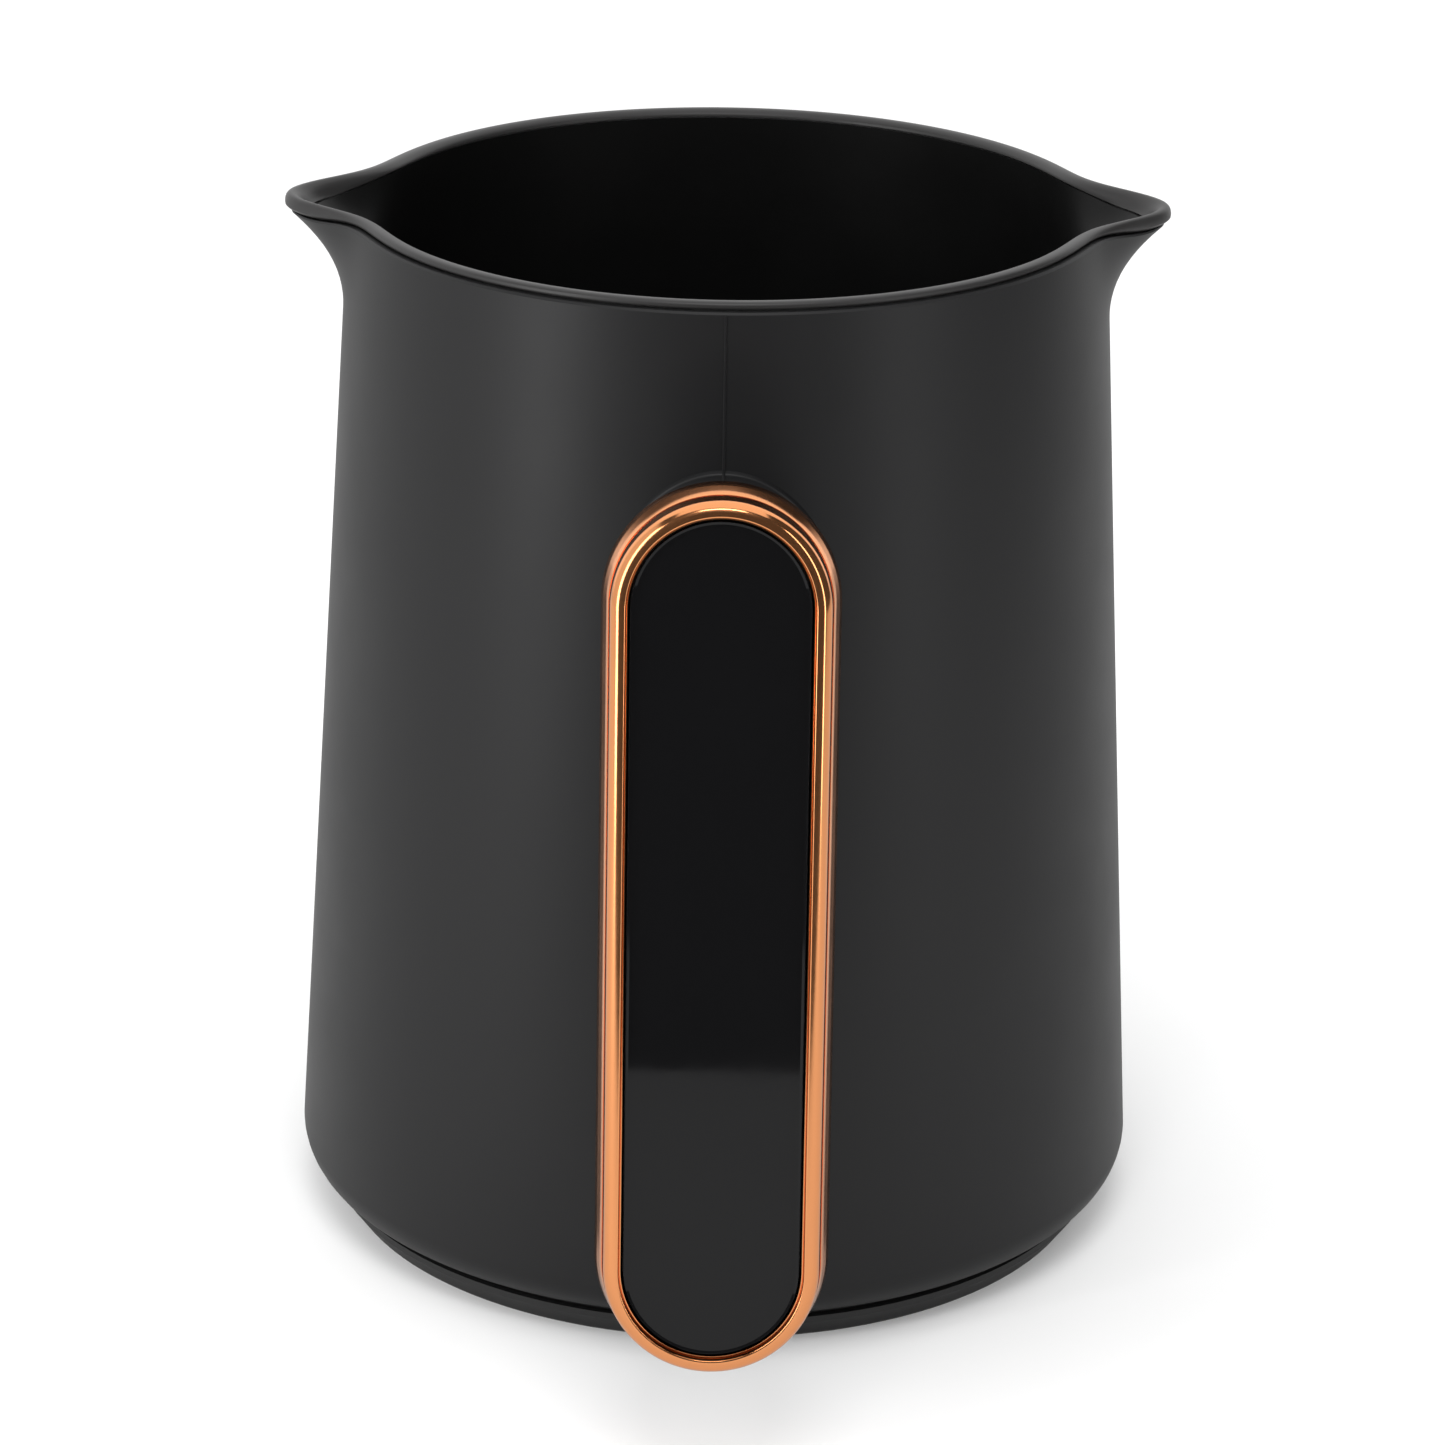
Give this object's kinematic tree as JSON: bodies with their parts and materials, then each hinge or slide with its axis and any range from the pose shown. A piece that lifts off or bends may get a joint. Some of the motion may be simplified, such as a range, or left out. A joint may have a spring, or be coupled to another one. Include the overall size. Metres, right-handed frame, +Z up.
{
  "type": "milk frother",
  "caption": "Cordless milk frother jug with pouring spouts, a hanging handle with a plated trim ring, a heater, a magnetic drive and a removable whisk.",
  "frame": {"origin": "centre of the base, on the surface the jug stands on, at the mouth of the power socket", "axes": "+Z up along the jug's axis; -Y towards the handle; the spouts point along +X and -X"},
  "size_m": [0.1104, 0.1426, 0.1335],
  "materials": {
    "shell_black": "fine satin-matte black moulded plastic",
    "copper_plate": "polished copper plating",
    "gloss_black": "gloss black plastic",
    "inner_plastic": "plain black plastic",
    "non_stick": "dark non-stick coating on aluminium sheet",
    "rim_grey": "dark grey plastic",
    "base_black": "matte black plastic",
    "silicone": "black silicone",
    "steel": "bright steel",
    "contact_copper": "copper alloy",
    "aluminium": "plain cast aluminium",
    "sheath": "heat-tinted steel sheath",
    "ceramic": "white ceramic and fibre",
    "board_green": "green circuit board",
    "component_black": "black moulded component",
    "component_blue": "blue moulded component",
    "magnet": "dark ferrite",
    "magnet_bright": "nickel-plated magnet",
    "bronze": "sintered bronze",
    "winding": "varnished copper winding on steel laminations",
    "whisk_plastic": "black food-safe plastic",
    "wire_brown": "brown insulation",
    "wire_blue": "blue insulation",
    "wire_green": "green and yellow insulation",
    "wire_white": "white insulation"
  },
  "bodies": {
    "jug": {"outer_shell": "shell_black", "handle_trim": "copper_plate", "handle_inlay": "gloss_black", "handle_carrier": "inner_plastic", "handle_screws": "steel", "inner_bowl": "non_stick", "rim_ring": "rim_grey", "base_cover": "base_black", "base_gasket": "silicone", "base_screws": "steel", "connector_housing": "base_black", "connector_screws": "steel", "live_contact": "contact_copper", "neutral_contact": "contact_copper", "earth_contact": "contact_copper", "heater_plate": "aluminium", "heater_element": "sheath", "heater_terminals": "steel", "temperature_sensor": "steel", "sensor_holder": "aluminium", "thermal_fuse": "ceramic", "fuse_clip": "steel", "control_board": "board_green", "relay": "component_blue", "rectifier": "component_black", "capacitor": "component_black", "drive_frame": "inner_plastic", "frame_dampers": "silicone", "frame_screws": "steel", "motor_can": "steel", "motor_end_cap": "inner_plastic", "motor_bushes": "bronze", "motor_magnets": "magnet", "whisk_pin": "steel", "live_lead": "wire_brown", "neutral_lead": "wire_blue", "earth_lead": "wire_green", "heater_lead": "wire_brown", "sensor_lead": "wire_white", "motor_lead": "wire_white"},
    "drive_rotor": {"motor_shaft": "steel", "armature": "winding", "drive_disc": "inner_plastic", "drive_magnets": "magnet_bright"},
    "whisk_carrier": {"whisk_sleeve": "inner_plastic"},
    "whisk": {"whisk_hub": "whisk_plastic", "whisk_magnets": "magnet_bright", "whisk_coil": "steel"}
  },
  "joints": [
    {"name": "rotor_spin", "type": "hinge", "parent": "jug", "child": "drive_rotor", "pos_m": [0, 0, 0.03], "axis": [0, 0, 1], "continuous": true},
    {"name": "whisk_lift", "type": "slide", "parent": "jug", "child": "whisk_carrier", "axis": [0, 0, 1], "range_m": [0, 0.1]},
    {"name": "whisk_spin", "type": "hinge", "parent": "whisk_carrier", "child": "whisk", "pos_m": [0, 0, 0.045], "axis": [0, 0, 1], "continuous": true}
  ],
  "couplings": [
    {"joint": "whisk_spin", "follows": "rotor_spin", "ratio": 1}
  ]
}
